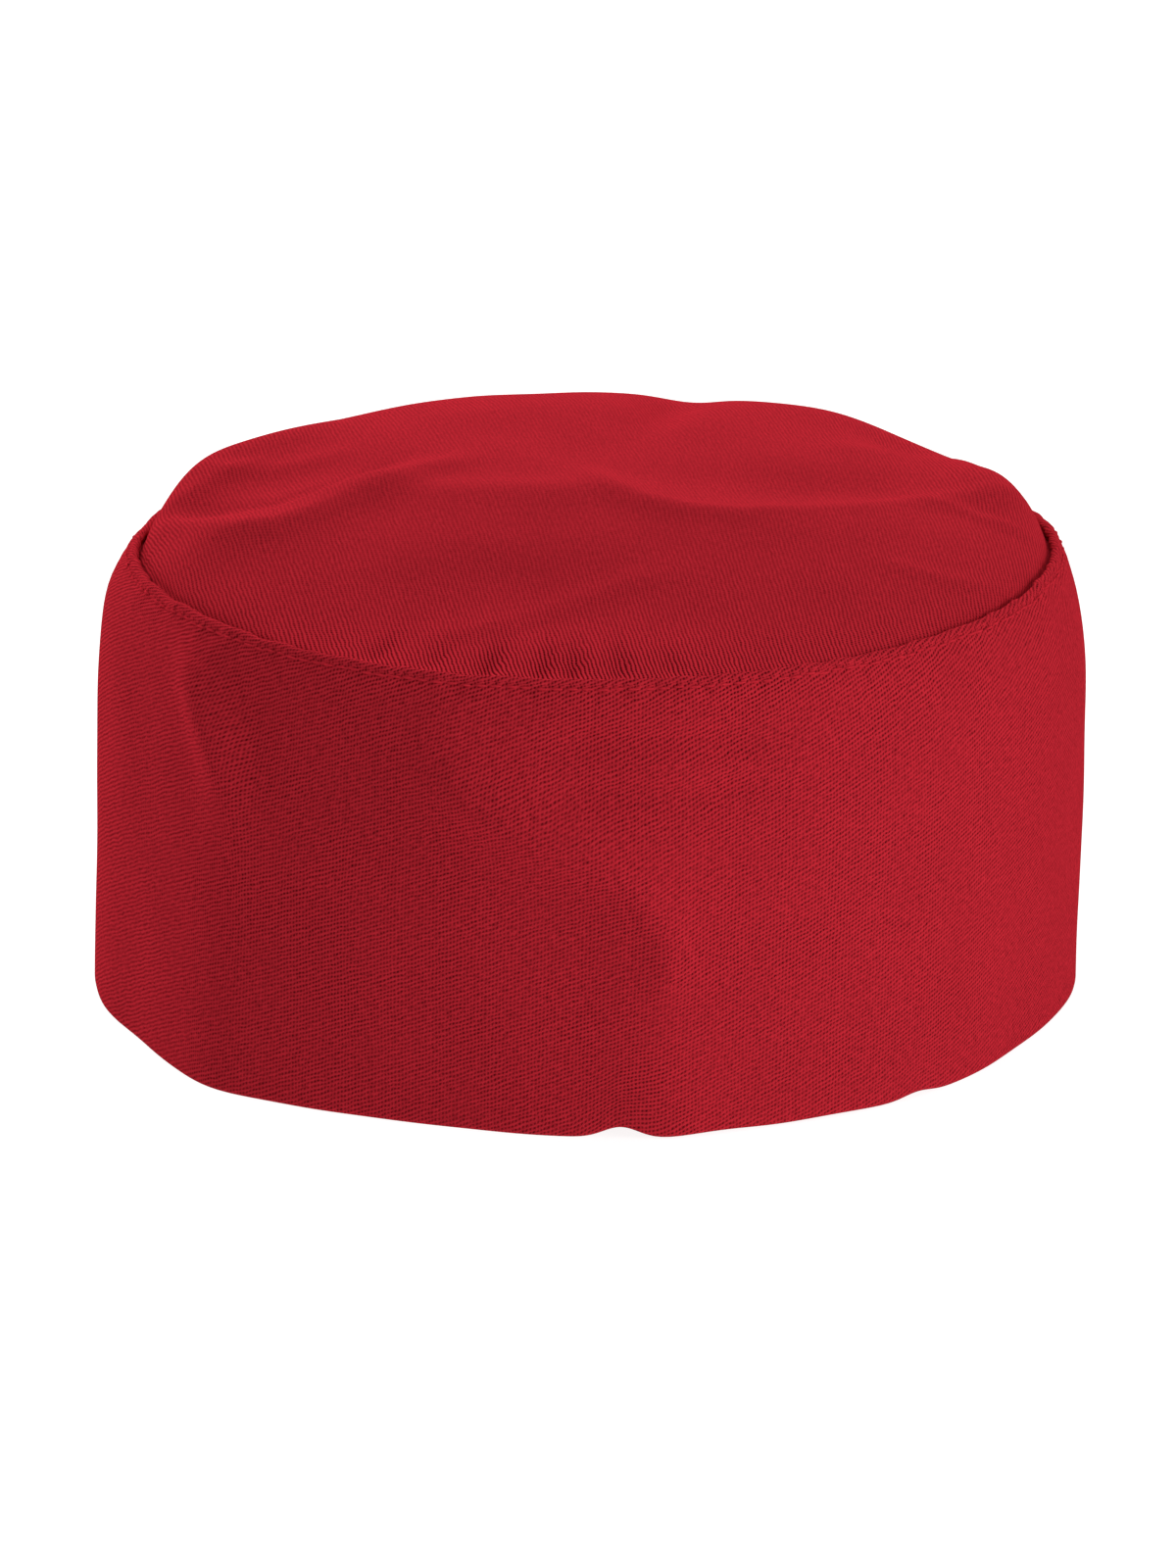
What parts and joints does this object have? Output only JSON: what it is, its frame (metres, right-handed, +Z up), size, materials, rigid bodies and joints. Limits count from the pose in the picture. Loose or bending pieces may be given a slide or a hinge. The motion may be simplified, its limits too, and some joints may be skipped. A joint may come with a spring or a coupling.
{
  "type": "chef hat",
  "caption": "Low round chef hat of red twill: a tall side band with a topstitched top edge, a soft folded crown sewn inside it, and an open hollow below for the head.",
  "frame": {"origin": "on the table under the middle of the hat, at the height of the rim", "axes": "+Z up through the crown, -Y the front that the picture shows, +X to the viewer's right"},
  "size_m": [0.1909, 0.196, 0.1032],
  "materials": {
    "band_twill": "matt red twill, folded double",
    "crown_twill": "matt red twill, one layer",
    "stitch_thread": "twisted red sewing thread"
  },
  "bodies": {
    "root": {"side_band": "band_twill", "crown": "crown_twill"}
  },
  "joints": []
}
